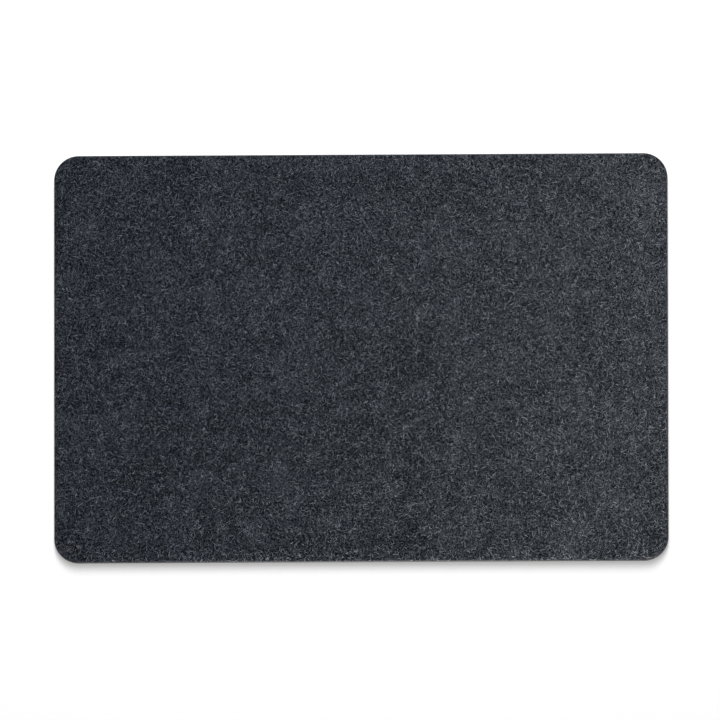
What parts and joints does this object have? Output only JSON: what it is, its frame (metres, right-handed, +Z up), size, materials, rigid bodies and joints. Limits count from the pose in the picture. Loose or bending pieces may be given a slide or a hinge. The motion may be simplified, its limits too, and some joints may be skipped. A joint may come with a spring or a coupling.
{
  "type": "desk mat",
  "caption": "Flat rounded-rectangle desk mat: a heathered felt face bonded by a thin film to a non-slip rubber base.",
  "frame": {"origin": "middle of the underside, on the desk surface", "axes": "+X along the front of the desk, +Y away from the user towards the far edge, +Z up out of the felt"},
  "size_m": [0.6, 0.4, 0.005],
  "materials": {
    "felt": "heathered charcoal pressed felt, matt",
    "film": "translucent hot-melt film, satin cut edge",
    "rubber": "fine-celled black rubber, matt"
  },
  "bodies": {
    "root": {"felt_face": "felt", "adhesive_film": "film", "rubber_base": "rubber"}
  },
  "joints": []
}
